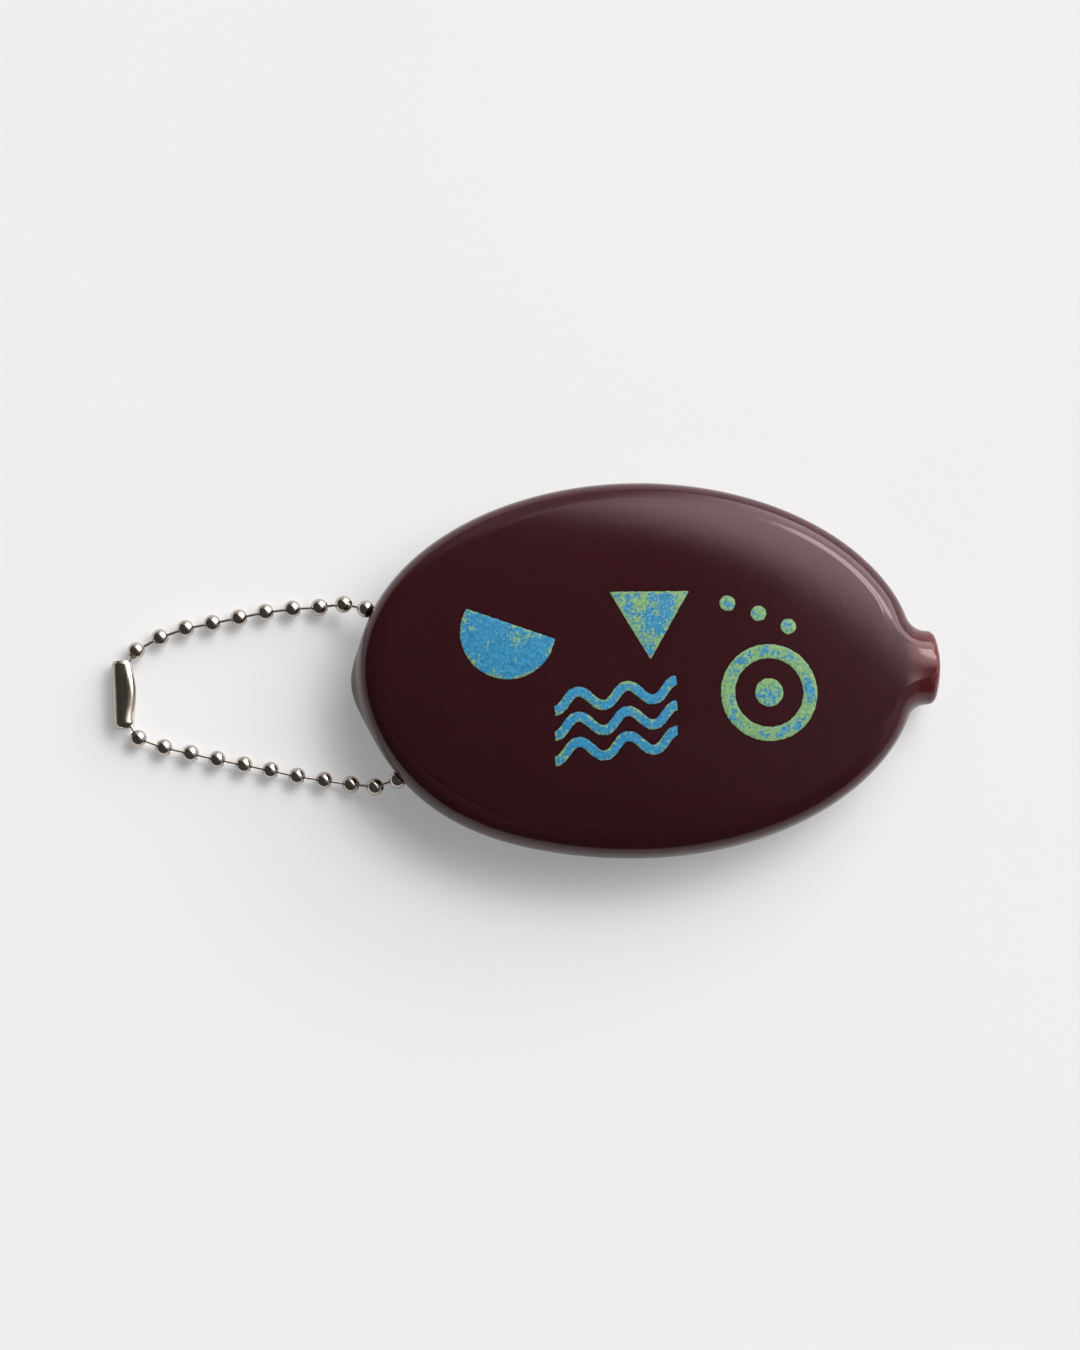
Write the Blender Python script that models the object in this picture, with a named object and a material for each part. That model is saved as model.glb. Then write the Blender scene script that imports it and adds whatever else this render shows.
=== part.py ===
"""A squeeze coin case: an oval moulded pouch, slit along its back, with a ball chain loop.

Lengths are in metres. X runs along the pouch towards its open neck, Y across it, and Z up from
the back face that it lies on. The origin is on that plane, under the middle of the whole case.
"""

import math
from collections import namedtuple

import bmesh
import bpy
from mathutils import Matrix, Vector

# Pouch
POUCH_LENGTH = 0.0765
POUCH_WIDTH = 0.0513
POUCH_THICKNESS = 0.0127
WALL = 0.0019
WIDEST_HEIGHT = 0.0063
CREASE_HEIGHT = 0.0105
CREASE_INSET = 0.0020
BACK_ROUNDING = 0.0042
FULLNESS = 0.0010  # how much the moulding bulges between the lower hole and the back edge
SWELL_HEIGHT = 0.0012  # the drip at the end away from the neck
SWELL_SPREAD = 0.0050
SWELL_LEVEL = 0.0036
SWELL_DEPTH = 0.0019
SLIT_LENGTH = 0.0600
SLIT_GAP = 0.0004

# Neck
NECK_LENGTH = 0.0031  # past the end of the oval
NECK_WIDTH = 0.0101
NECK_MIDDLE = 0.0053  # height of the neck's centreline
NECK_BORE = 0.0066
NECK_FILLET = 0.0045
NECK_CORNER = 0.0007
NECK_END_RADIUS = 0.0150
NECK_BLEND = 0.0032  # over which the oval's section turns into the neck's, before the oval's end

# Ball chain
BALL_DIAMETER = 0.0024
BALL_WALL = 0.00015
BALL_HOLE = 0.0011
CHAIN_PITCH = 0.00371
HEAD_DIAMETER = 0.00112
SHANK_DIAMETER = 0.0004
PIVOT_OFFSET = 0.00056  # from a ball's centre to the middle of a link's head

# Where the chain passes the pouch
HOLE_CLEARANCE = 0.0004
UPPER_HOLE_OFFSET = 0.0085  # across the pouch from its middle line
LOWER_HOLE_OFFSET = 0.0138
UPPER_BALL_OUTSIDE = 0.0010  # from the pouch's side to the middle of the ball at the hole
LOWER_BALL_OUTSIDE = 0.0003
FLOOR_CLEARANCE = 0.0012  # under the balls inside the pouch

# Clasp
SLEEVE_LENGTH = 0.0091
SLEEVE_DIAMETER = 0.0031
SLEEVE_SHEET = 0.00025
SLEEVE_LIP = 0.00022
SLEEVE_LIP_LENGTH = 0.0005
SLEEVE_FLARE = 0.0005
SEAT_DEPTH = 0.00175  # from an end of the sleeve to the middle of the ball in it

# Overrun of every cutter, and how near two corners are when they are one
OVERRUN = 0.0020
SAME_PLACE = 0.0000002

# Angles in degrees, and shares
FACE_FALL_POWER = 3.0
SIDE_TOP_ANGLE = 72.0
SHOULDER_SHARES = (0.08, 0.5)  # of the way from the crease to the first ring of the face
FACE_RING_SHARES = (0.92, 0.76, 0.52, 0.26)
BACK_RING_SHARES = (0.78, 0.4)
NECK_END_SHARE = 0.14  # how much of the side's rounding the end of the neck keeps
NECK_FOOT_ANGLE = 70.0  # below the neck's widest line, where its round side ends
NECK_TOP_ANGLE = 62.0
STEEPEST_JOIN = 60.0  # the furthest round the oval that the neck's fillet may start
FULLNESS_PLACE = 228.0
FULLNESS_SPREAD = 24.0
SWELL_PLACE = 183.0
UPPER_HEADINGS = (-18, 2, 3, 6, 11, 11, 10, 19, 28, 61)
LOWER_HEADINGS = (14, -9, -9, -9, -13, -12, -12, -13, -13, -20, -60)
WIDEST_SPREAD = 10.0  # that a strand may swing from its headings to meet the clasp
DESCENTS = (32, 27)  # of the two links that come down from a hole to the table
INNER_SLACK_SHARE = 1.06
INNER_BEND_POWER = 3.0  # the chain inside bends more and more towards the lower hole
SLOT_HALF_ANGLE = 36.0
FLARE_ANGLE = 40.0
SOFTEST_EDGES = {"pouch": 40.0, "chain": 50.0, "sleeve": 45.0}  # a sharper edge is shaded sharp

# Facets
OVAL_QUARTER_STEPS = 12
ARC_STEPS = 5
SIDE_STEPS = 4
CAVITY_STEPS = 32
BORE_STEPS = 24
HOLE_STEPS = 16
BALL_STEPS = 12
BALL_ARC_STEPS = 5
LINK_STEPS = 6
HEAD_ARC_STEPS = 3
SLEEVE_STEPS = 12

RimPoint = namedtuple("RimPoint", "place outward turn inward")
Hole = namedtuple("Hole", "outside inside")


def clear_scene():
    for old in list(bpy.data.objects):
        bpy.data.objects.remove(old, do_unlink=True)


def principled(name, colour, roughness, metallic, coat=0.0):
    made = bpy.data.materials.new(name)
    made.use_nodes = True
    shader = made.node_tree.nodes["Principled BSDF"]
    shader.inputs["Base Color"].default_value = (*colour, 1.0)
    shader.inputs["Roughness"].default_value = roughness
    shader.inputs["Metallic"].default_value = metallic
    shader.inputs["Coat Weight"].default_value = coat
    return made


def object_of(name, shape, material=None):
    """A new object from a bmesh, with its faces turned outwards."""
    bmesh.ops.recalc_face_normals(shape, faces=shape.faces)
    mesh = bpy.data.meshes.new(name)
    shape.to_mesh(mesh)
    shape.free()
    made = bpy.data.objects.new(name, mesh)
    bpy.context.collection.objects.link(made)
    if material:
        mesh.materials.append(material)
    return made


def empty_at(name, place, rotation=None, parent=None):
    made = bpy.data.objects.new(name, None)
    bpy.context.collection.objects.link(made)
    made.empty_display_size = BALL_DIAMETER
    made.matrix_world = Matrix.LocRotScale(place, rotation, None)
    if parent:
        attach(made, parent)
    return made


def attach(child, parent):
    """Parents without moving the child."""
    bpy.context.view_layer.update()
    child.parent = parent
    child.matrix_parent_inverse = parent.matrix_world.inverted()


def smooth(made, kind):
    made.data.shade_smooth()
    made.data.set_sharp_from_angle(angle=math.radians(SOFTEST_EDGES[kind]))


def smoothstep(share):
    share = min(max(share, 0.0), 1.0)
    return share * share * (3 - 2 * share)


def bisected(wrong_by, low, high):
    """Where a function that rises from low to high is zero."""
    for _ in range(60):
        middle = (low + high) / 2
        if wrong_by(middle) < 0:
            low = middle
        else:
            high = middle
    return (low + high) / 2


# The pouch's outline


def oval_rim(turn, half_length, half_width):
    place = Vector((half_length * math.cos(turn), half_width * math.sin(turn)))
    outward = Vector((math.cos(turn) / half_length, math.sin(turn) / half_width)).normalized()
    return place, outward


def fullness(turn):
    away = (math.degrees(turn) - FULLNESS_PLACE) / FULLNESS_SPREAD
    return FULLNESS * math.exp(-away * away)


def arc(centre, radius, first, last, steps):
    """Points and outward directions along an arc, both ends included."""
    for step in range(steps + 1):
        angle = first + (last - first) * step / steps
        way = Vector((math.cos(angle), math.sin(angle)))
        yield centre + radius * way, way


def half_rim():
    """The rim from the neck's end round to the other end, on the side where Y is positive."""
    half_length, half_width = POUCH_LENGTH / 2, POUCH_WIDTH / 2
    neck_half = NECK_WIDTH / 2
    neck_end = half_length + NECK_LENGTH

    def above_fillet(turn):
        place, outward = oval_rim(turn, half_length, half_width)
        return (place + NECK_FILLET * outward).y - neck_half - NECK_FILLET

    joins = bisected(above_fillet, 0.0, math.radians(STEEPEST_JOIN))
    place, outward = oval_rim(joins, half_length, half_width)
    hollow = place + NECK_FILLET * outward
    slope = math.atan2(-outward.y, -outward.x)

    end_centre = Vector((neck_end - NECK_END_RADIUS, 0.0))
    corner_y = neck_half - NECK_CORNER
    reach = NECK_END_RADIUS - NECK_CORNER
    end_angle = math.asin(corner_y / reach)
    corner = end_centre + reach * Vector((math.cos(end_angle), math.sin(end_angle)))

    found = []
    end_arc = list(arc(end_centre, NECK_END_RADIUS, 0.0, end_angle, ARC_STEPS))
    corner_arc = list(arc(corner, NECK_CORNER, end_angle, math.pi / 2, ARC_STEPS))
    for spot, way in end_arc + corner_arc[1:]:
        found.append((spot, way, Vector((-NECK_END_SHARE * way.x, -spot.y / neck_half))))
    for spot, way in arc(hollow, NECK_FILLET, -math.pi / 2, slope, ARC_STEPS):
        found.append((spot, -way, way))
    neck = [
        RimPoint(spot, way, joins * index / len(found), inward)
        for index, (spot, way, inward) in enumerate(found)
    ]
    turns = [joins]
    for last in (math.pi / 2, math.pi):
        first = turns[-1]
        turns += [first + (last - first) * (i + 1) / OVAL_QUARTER_STEPS for i in range(OVAL_QUARTER_STEPS)]
    oval = []
    for turn in turns:
        spot, way = oval_rim(turn, half_length, half_width)
        oval.append(RimPoint(spot, way, turn, -way))
    return neck[:-1] + oval


def pouch_rim():
    """The whole rim, anticlockwise seen from the front."""
    half = half_rim()
    flip = Vector((1.0, -1.0))
    mirrored = [
        RimPoint(p.place * flip, p.outward * flip, 2 * math.pi - p.turn, p.inward * flip)
        for p in reversed(half[1:-1])
    ]
    rim = half + mirrored
    return [p._replace(place=p.place + fullness(p.turn) * p.outward) for p in rim]


def side_levels():
    """From -1 at the flat back, past 0 where the pouch is widest, to 1 at the crease round the face."""
    return [step / SIDE_STEPS for step in range(-SIDE_STEPS, SIDE_STEPS + 1)]


def side_profile(level):
    """The inset and the height of the pouch's side."""
    if level <= 0:
        angle = math.pi / 2 * level
        return BACK_ROUNDING * (1 - math.cos(angle)), WIDEST_HEIGHT * (1 + math.sin(angle))
    top = math.radians(SIDE_TOP_ANGLE)
    inset = CREASE_INSET * (1 - math.cos(top * level)) / (1 - math.cos(top))
    rise = (CREASE_HEIGHT - WIDEST_HEIGHT) * math.sin(top * level) / math.sin(top)
    return inset, WIDEST_HEIGHT + rise


def neck_profile(level, across):
    """The inset and the height of the round neck, at this distance from its middle line."""
    radius = NECK_WIDTH / 2
    limit = math.radians(NECK_TOP_ANGLE if level > 0 else NECK_FOOT_ANGLE)
    edge = radius * math.sin(limit)
    over_middle = math.sqrt(radius**2 - (min(across, radius) * math.cos(limit)) ** 2)
    fuller = 1 + (over_middle / edge - 1) * abs(level)
    angle = limit * level
    return radius * (1 - math.cos(angle)), NECK_MIDDLE + fuller * radius * math.sin(angle)


def neck_share(point):
    """0 round the oval, and 1 on the neck."""
    start = POUCH_LENGTH / 2 - NECK_BLEND
    end = POUCH_LENGTH / 2 + NECK_LENGTH - 2 * NECK_CORNER
    return smoothstep((point.place.x - start) / (end - start))


def swell(turn, height):
    """How far the drip at the closed end stands out from the side."""
    along = POUCH_WIDTH / 2 * (turn - math.radians(SWELL_PLACE)) / SWELL_SPREAD
    up = (height - SWELL_LEVEL) / SWELL_DEPTH
    return SWELL_HEIGHT * math.exp(-along * along - up * up)


def face_height(x, y):
    """The domed front, level with its crease on the neck."""
    across = Vector((x / (POUCH_LENGTH / 2 - CREASE_INSET), y / (POUCH_WIDTH / 2 - CREASE_INSET)))
    fall = min(across.length, 1.0) ** FACE_FALL_POWER
    return POUCH_THICKNESS - (POUCH_THICKNESS - CREASE_HEIGHT) * fall


def shoulder_height(x, y, neck, way_in):
    """The face between its crease and its first ring, where it runs out along the top of the neck."""
    radius = NECK_WIDTH / 2
    across = min(abs(y), radius * math.cos(math.radians(NECK_TOP_ANGLE)))
    drop = CREASE_HEIGHT - NECK_MIDDLE - math.sqrt(radius**2 - across**2)
    return face_height(x, y) - neck * drop * (1 - smoothstep(way_in))


def lofted(rings, bottom, top):
    """A closed skin over rings of equal count, with a point at either end."""
    shape = bmesh.new()
    rows = [[shape.verts.new(spot) for spot in ring] for ring in rings]
    count = len(rows[0])
    for low, high in zip(rows, rows[1:]):
        for i in range(count):
            k = (i + 1) % count
            shape.faces.new((low[i], low[k], high[k], high[i]))
    foot, crown = shape.verts.new(bottom), shape.verts.new(top)
    for i in range(count):
        k = (i + 1) % count
        shape.faces.new((rows[0][k], rows[0][i], foot))
        shape.faces.new((rows[-1][i], rows[-1][k], crown))
    return shape


def oval_ring(rim, share, inset, height_of):
    ring = []
    for point in rim:
        x = share * (POUCH_LENGTH / 2 - inset) * math.cos(point.turn)
        y = share * (POUCH_WIDTH / 2 - inset) * math.sin(point.turn)
        ring.append(Vector((x, y, height_of(x, y))))
    return ring


def side_ring(rim, level):
    ring = []
    for point in rim:
        neck = neck_share(point)
        on_side, on_neck = side_profile(level), neck_profile(level, abs(point.place.y))
        inset = on_side[0] + (on_neck[0] - on_side[0]) * neck
        height = on_side[1] + (on_neck[1] - on_side[1]) * neck
        spot = point.place + inset * point.inward + swell(point.turn, height) * point.outward
        ring.append(Vector((spot.x, spot.y, height)))
    return ring


def outer_skin():
    rim = pouch_rim()
    back = [oval_ring(rim, share, BACK_ROUNDING, lambda x, y: 0.0) for share in reversed(BACK_RING_SHARES)]
    side = [side_ring(rim, level) for level in side_levels()]
    face = [oval_ring(rim, share, CREASE_INSET, face_height) for share in FACE_RING_SHARES]
    crease = side[-1]
    rings = back + side
    for share in SHOULDER_SHARES:
        ring = []
        for point, outside, inside in zip(rim, crease, face[0]):
            spot = outside.lerp(inside, share)
            spot.z = shoulder_height(spot.x, spot.y, neck_share(point), share)
            ring.append(spot)
        rings.append(ring)
    return lofted(rings + face, Vector((0, 0, 0)), Vector((0, 0, POUCH_THICKNESS)))


def cavity_skin():
    """The hollow, one wall inside the outer skin."""
    rings = []
    for inset, height in map(side_profile, side_levels()[:: SIDE_STEPS // 2]):
        level = min(max(height, WALL), POUCH_THICKNESS - WALL)
        ring = []
        for step in range(CAVITY_STEPS):
            turn = 2 * math.pi * step / CAVITY_STEPS
            spot, outward = oval_rim(turn, POUCH_LENGTH / 2, POUCH_WIDTH / 2)
            spot -= (inset + WALL) * outward
            ring.append(Vector((spot.x, spot.y, min(level, face_height(*spot) - WALL))))
        rings.append(ring)
    return lofted(rings, Vector((0, 0, WALL)), Vector((0, 0, POUCH_THICKNESS - WALL)))


# Turned shapes


def turned(profile, steps):
    """Turns (radius, height) points about Z. A closed loop gives a ring, and ends on Z give a solid."""
    shape = bmesh.new()
    corners = [shape.verts.new((radius, 0, height)) for radius, height in profile]
    pairs = list(zip(corners, corners[1:]))
    if profile[0][0] > 0:
        pairs.append((corners[-1], corners[0]))
    for first, second in pairs:
        shape.edges.new((first, second))
    bmesh.ops.spin(
        shape,
        geom=list(shape.verts) + list(shape.edges),
        axis=(0, 0, 1),
        cent=(0, 0, 0),
        angle=2 * math.pi,
        steps=steps,
        use_merge=True,
    )
    bmesh.ops.remove_doubles(shape, verts=shape.verts, dist=SAME_PLACE)
    return shape


def rod(radius, length, steps):
    """A plain cylinder about Z, centred on its middle."""
    half = length / 2
    return turned([(0, half), (radius, half), (radius, -half), (0, -half)], steps)


def ball_shape():
    """A hollow ball with a hole at either pole for a link."""
    outer = BALL_DIAMETER / 2
    inner = outer - BALL_WALL
    hole = BALL_HOLE / 2
    profile = []
    for radius, steps, reverse in ((outer, BALL_ARC_STEPS, False), (inner, BALL_ARC_STEPS - 1, True)):
        edge = math.asin(hole / radius)
        angles = [edge + (math.pi - 2 * edge) * step / steps for step in range(steps + 1)]
        points = [(radius * math.sin(a), radius * math.cos(a)) for a in angles]
        profile += reversed(points) if reverse else points
    return turned(profile, BALL_STEPS)


def link_shape():
    """A wire with a round head on each end, from the head at the origin up along Z."""
    head, shank = HEAD_DIAMETER / 2, SHANK_DIAMETER / 2
    span = CHAIN_PITCH - 2 * PIVOT_OFFSET
    neck = math.asin(shank / head)
    angles = [math.pi - (math.pi - neck) * step / HEAD_ARC_STEPS for step in range(HEAD_ARC_STEPS + 1)]
    low = [(head * math.sin(a), head * math.cos(a)) for a in angles]
    low[0] = (0, -head)
    high = [(radius, span - height) for radius, height in reversed(low)]
    return turned(low + high, LINK_STEPS)


# The chain's route


def direction(heading, climb):
    """Outwards from the pouch, turned from -X by the heading and up by the climb, in degrees."""
    h, c = math.radians(heading), math.radians(climb)
    return Vector((-math.cos(h) * math.cos(c), -math.sin(h) * math.cos(c), math.sin(c)))


def hole_level():
    drop = sum(math.sin(math.radians(angle)) for angle in DESCENTS)
    return BALL_DIAMETER / 2 + CHAIN_PITCH * drop


def ball_at_hole(offset, outside):
    """The middle of the ball at the hole that lies this far across the pouch."""
    turn = math.pi - math.asin(offset / (POUCH_WIDTH / 2))
    place, outward = oval_rim(turn, POUCH_LENGTH / 2, POUCH_WIDTH / 2)
    place += (fullness(turn) + outside) * outward
    return Vector((place.x, place.y, hole_level()))


def strand(start, headings, spread):
    """Ball centres from the one at the hole to the one in the clasp."""
    to_sleeve = math.degrees(math.asin((SLEEVE_DIAMETER - BALL_DIAMETER) / 2 / CHAIN_PITCH))
    flat = [0] * (len(headings) - len(DESCENTS) - 1)
    climbs = [-angle for angle in DESCENTS] + flat + [to_sleeve]
    found = [start]
    for heading, climb in zip(headings, climbs):
        found.append(found[-1] + CHAIN_PITCH * direction(heading + spread, climb))
    return found


def both_strands():
    """The two strands, swung together or apart until their last balls are the clasp's length apart."""
    upper_start = ball_at_hole(UPPER_HOLE_OFFSET, UPPER_BALL_OUTSIDE)
    lower_start = ball_at_hole(-LOWER_HOLE_OFFSET, LOWER_BALL_OUTSIDE)
    wanted = SLEEVE_LENGTH - 2 * SEAT_DEPTH

    def strands(spread):
        upper = strand(upper_start, UPPER_HEADINGS, -spread)
        return upper, strand(lower_start, LOWER_HEADINGS, spread)

    def too_wide(spread):
        upper, lower = strands(spread)
        return (upper[-1] - lower[-1]).length - wanted

    return strands(bisected(too_wide, -WIDEST_SPREAD, WIDEST_SPREAD))


def inner_balls(first, last):
    """Balls between two others, all one pitch apart. Their bend is laid down to the pouch's floor."""
    chord = last - first
    links = math.ceil(INNER_SLACK_SHARE * chord.length / CHAIN_PITCH)
    shares = [(index / (links - 1)) ** INNER_BEND_POWER for index in range(links)]

    def angles(bend):
        def off_chord(lean):
            return sum(math.sin(lean - bend * share) for share in shares)

        lean = bisected(off_chord, 0.0, bend)
        return [lean - bend * share for share in shares]

    def too_long(bend):
        return chord.length - CHAIN_PITCH * sum(math.cos(angle) for angle in angles(bend))

    turns = angles(bisected(too_long, 0.0, math.pi))
    along = chord.normalized()
    side = along.cross(Vector((0, 0, 1)))
    side = -side if side.x < 0 else side
    deepest = CHAIN_PITCH * sum(math.sin(angle) for angle in turns if angle > 0)
    floor = WALL + BALL_DIAMETER / 2 + FLOOR_CLEARANCE
    dip = math.asin(min(max((hole_level() - floor) / deepest, 0.0), 1.0))
    side = math.cos(dip) * side - math.sin(dip) * Vector((0, 0, 1))
    spot, found = first, []
    for angle in turns[:-1]:
        spot = spot + CHAIN_PITCH * (math.cos(angle) * along + math.sin(angle) * side)
        found.append(spot)
    return found


# Building


def turn_from_z(way):
    return Vector((0, 0, 1)).rotation_difference(way)


def build_pouch(frame, material, holes):
    """The moulding, with its cavity, the neck's bore, the slit and the chain's holes cut from it."""
    pouch = object_of("pouch_shell", outer_skin(), material)
    pouch.parent = frame
    neck_end = POUCH_LENGTH / 2 + NECK_LENGTH
    bore_length = NECK_LENGTH + WALL + BACK_ROUNDING + 2 * OVERRUN

    cutters = [object_of("cavity_cutter", cavity_skin())]
    bore = object_of("neck_bore_cutter", rod(NECK_BORE / 2, bore_length, BORE_STEPS))
    bore.rotation_euler = (0, math.pi / 2, 0)
    bore.location = (neck_end + OVERRUN - bore_length / 2, 0, NECK_MIDDLE)
    cutters.append(bore)
    slit_shape = bmesh.new()
    bmesh.ops.create_cube(slit_shape, size=1.0)
    bmesh.ops.scale(slit_shape, vec=(SLIT_LENGTH, SLIT_GAP, WALL + 2 * OVERRUN), verts=slit_shape.verts)
    slit = object_of("slit_cutter", slit_shape)
    slit.location = (0, 0, WALL / 2)
    cutters.append(slit)
    for name, hole in holes.items():
        radius = BALL_DIAMETER / 2 + HOLE_CLEARANCE
        length = (hole.inside - hole.outside).length + BALL_DIAMETER
        cutter = object_of(name, rod(radius, length, HOLE_STEPS))
        cutter.rotation_mode = "QUATERNION"
        cutter.rotation_quaternion = turn_from_z(hole.inside - hole.outside)
        cutter.location = (hole.inside + hole.outside) / 2
        cutters.append(cutter)

    for cutter in cutters:
        cutter.parent = frame
        cutter.hide_render = True
        cutter.display_type = "WIRE"
        cut = pouch.modifiers.new(cutter.name, "BOOLEAN")
        cut.operation = "DIFFERENCE"
        cut.object = cutter
        cut.solver = "EXACT"
    smooth(pouch, "pouch")


def build_sleeve(material, upper_end, lower_end, last_ball):
    """A folded sheet sleeve, slotted towards the pouch, its slot's edges flared in the middle."""
    radius = SLEEVE_DIAMETER / 2
    half = SLEEVE_LENGTH / 2
    stations = [-half, -half + SLEEVE_LIP_LENGTH]
    inner = half - SLEEVE_LIP_LENGTH
    stations += [inner * (2 * step / SLEEVE_STEPS - 1) for step in range(1, SLEEVE_STEPS)]
    stations += [inner, half]
    first, last = SLOT_HALF_ANGLE, 360.0 - SLOT_HALF_ANGLE
    shape = bmesh.new()
    rows = []
    for along in stations:
        lip = SLEEVE_LIP if abs(along) > inner + SLEEVE_LIP_LENGTH / 2 else 0.0
        swell_out = max(0.0, math.cos(math.pi * along / SLEEVE_LENGTH)) ** 2
        row = []
        for step in range(SLEEVE_STEPS + 1):
            angle = first + (last - first) * step / SLEEVE_STEPS
            from_edge = min(angle - first, last - angle) / FLARE_ANGLE
            flare = SLEEVE_FLARE * max(0.0, 1 - from_edge) * swell_out
            r, a = radius - lip + flare, math.radians(angle)
            row.append(shape.verts.new((r * math.cos(a), r * math.sin(a), along)))
        rows.append(row)
    for low, high in zip(rows, rows[1:]):
        for i in range(SLEEVE_STEPS):
            shape.faces.new((low[i], low[i + 1], high[i + 1], high[i]))
    sleeve = object_of("clasp_sleeve", shape, material)
    thick = sleeve.modifiers.new("sheet", "SOLIDIFY")
    thick.thickness = SLEEVE_SHEET
    thick.offset = -1.0
    thick.use_even_offset = True

    up = (upper_end - lower_end).normalized()
    out = Vector((1, 0, 0))
    out = (out - out.project(up)).normalized()
    turn = Matrix((out, up.cross(out), up)).transposed().to_quaternion()
    sleeve.parent = empty_at("clasp_pivot", (upper_end + lower_end) / 2, turn, last_ball)
    smooth(sleeve, "sleeve")


def head_places(first, second):
    """The middles of a link's two heads, for the balls that it joins."""
    way = (second - first).normalized()
    return first + PIVOT_OFFSET * way, second - PIVOT_OFFSET * way


def place_along(made, spot, way):
    made.rotation_mode = "QUATERNION"
    made.matrix_world = Matrix.LocRotScale(spot, turn_from_z(way), None)


def ball_way(before, centre, after):
    """A ball's holes lie along the line that halves the turn between its two links."""
    way = (centre - before).normalized()
    if after:
        way += (after - centre).normalized()
    return way.normalized()


def new_piece(name, mesh, spot, way, parent):
    made = bpy.data.objects.new(name, mesh)
    bpy.context.collection.objects.link(made)
    place_along(made, spot, way)
    attach(made, parent)


def build_inside(frame, balls_mesh, links_mesh, upper, lower, inner):
    """The balls and links that stay inside the pouch, the last ball half in the lower hole."""
    held = inner + [lower[0]]
    line = [upper[0]] + held + [lower[1]]
    for index, (before, centre, after) in enumerate(zip(line, line[1:], line[2:])):
        new_piece(f"ball_inner_{index + 1}", balls_mesh, centre, ball_way(before, centre, after), frame)
    for index, (near, far) in enumerate(zip(held, held[1:])):
        new_piece(f"link_inner_{index + 1}", links_mesh, head_places(near, far)[0], far - near, frame)


def build_strand(side, frame, balls_mesh, links_mesh, balls, axes):
    """One strand, in which each piece hangs on an empty at its pivot, whose Y is the hinge's axis."""
    heads = strand_heads(balls)
    parent = frame
    for index, (spot, axis) in enumerate(zip(heads, axes)):
        number = index // 2 + 1
        near, centre = balls[number - 1], balls[number]
        kind = "ball" if index % 2 else "link"
        turn = Vector((0, 1, 0)).rotation_difference(axis)
        parent = empty_at(f"{kind}_{side}_{number:02d}_pivot", spot, turn, parent)
        if kind == "link":
            new_piece(f"link_{side}_{number:02d}", links_mesh, spot, centre - near, parent)
        else:
            after = balls[number + 1] if number + 1 < len(balls) else None
            way = ball_way(near, centre, after)
            new_piece(f"ball_{side}_{number:02d}", balls_mesh, centre, way, parent)
    return parent


def strand_heads(balls):
    return [head for pair in zip(balls, balls[1:]) for head in head_places(*pair)]


def chain_mesh(name, shape, material):
    """A mesh that several objects share."""
    made = object_of(name, shape, material)
    smooth(made, "chain")
    mesh = made.data
    bpy.data.objects.remove(made, do_unlink=True)
    return mesh


def build():
    clear_scene()
    vinyl = principled("oxblood_vinyl", (0.036, 0.0095, 0.0123), 0.32, 0.0, 0.3)
    nickel = principled("nickel_plate", (0.62, 0.60, 0.56), 0.18, 1.0)
    sheet = principled("sleeve_plate", (0.60, 0.57, 0.50), 0.24, 1.0)

    upper, lower = both_strands()
    inner = inner_balls(upper[0], lower[0])
    sleeve_left = ((upper[-1] + lower[-1]) / 2).x - SLEEVE_DIAMETER / 2
    neck_end = POUCH_LENGTH / 2 + NECK_LENGTH
    shift = Vector((-(sleeve_left + neck_end) / 2, 0, 0))

    frame = empty_at("pouch_frame", Vector())
    holes = {
        "upper_hole_cutter": Hole(upper[0], inner[0]),
        "lower_hole_cutter": Hole(lower[0], inner[-1]),
    }
    build_pouch(frame, vinyl, holes)
    balls_mesh = chain_mesh("chain_ball", ball_shape(), nickel)
    links_mesh = chain_mesh("chain_link", link_shape(), nickel)
    build_inside(frame, balls_mesh, links_mesh, upper, lower, inner)
    upper_line = [inner[0]] + upper
    pairs = zip(strand_heads(upper_line), strand_heads(lower))
    axes = [(above - below).normalized() for above, below in pairs]
    last_ball = build_strand("upper", frame, balls_mesh, links_mesh, upper_line, axes)
    build_strand("lower", frame, balls_mesh, links_mesh, lower, axes)
    build_sleeve(sheet, upper[-1], lower[-1], last_ball)
    frame.location = shift
    bpy.context.view_layer.update()


build()
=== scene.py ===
"""A squeeze coin case on a pale table: an oval moulded pouch, printed on its front, and a ball chain loop.

Lengths are in metres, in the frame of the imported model: X along the pouch to its neck, Z up.
"""

import math

import bmesh
import bpy
import numpy as np
from mathutils import Matrix, Vector


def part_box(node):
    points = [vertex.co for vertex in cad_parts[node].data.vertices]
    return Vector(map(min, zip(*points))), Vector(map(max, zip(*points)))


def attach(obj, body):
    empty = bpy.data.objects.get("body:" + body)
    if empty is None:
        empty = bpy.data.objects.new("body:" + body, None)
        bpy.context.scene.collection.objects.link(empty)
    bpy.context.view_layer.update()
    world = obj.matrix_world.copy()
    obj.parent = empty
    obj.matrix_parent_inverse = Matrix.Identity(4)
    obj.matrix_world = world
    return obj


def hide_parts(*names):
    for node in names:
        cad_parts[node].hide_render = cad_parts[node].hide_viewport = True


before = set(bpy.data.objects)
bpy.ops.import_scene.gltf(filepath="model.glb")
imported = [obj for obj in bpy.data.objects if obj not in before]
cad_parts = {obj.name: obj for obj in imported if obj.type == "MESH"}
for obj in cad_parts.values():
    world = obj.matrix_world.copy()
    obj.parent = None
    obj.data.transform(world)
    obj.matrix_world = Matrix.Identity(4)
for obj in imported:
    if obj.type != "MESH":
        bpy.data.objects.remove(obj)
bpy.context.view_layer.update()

# Pouch
# One moulding of soft, dark red vinyl, about 2 mm thick: an oval dish with a round rim, a fine ledge
# inside the rim and a slightly domed front. It is cast in one piece with its neck, and slit along the
# back after it has cooled. A drip of the vinyl has set at the end away from the neck.

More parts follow.
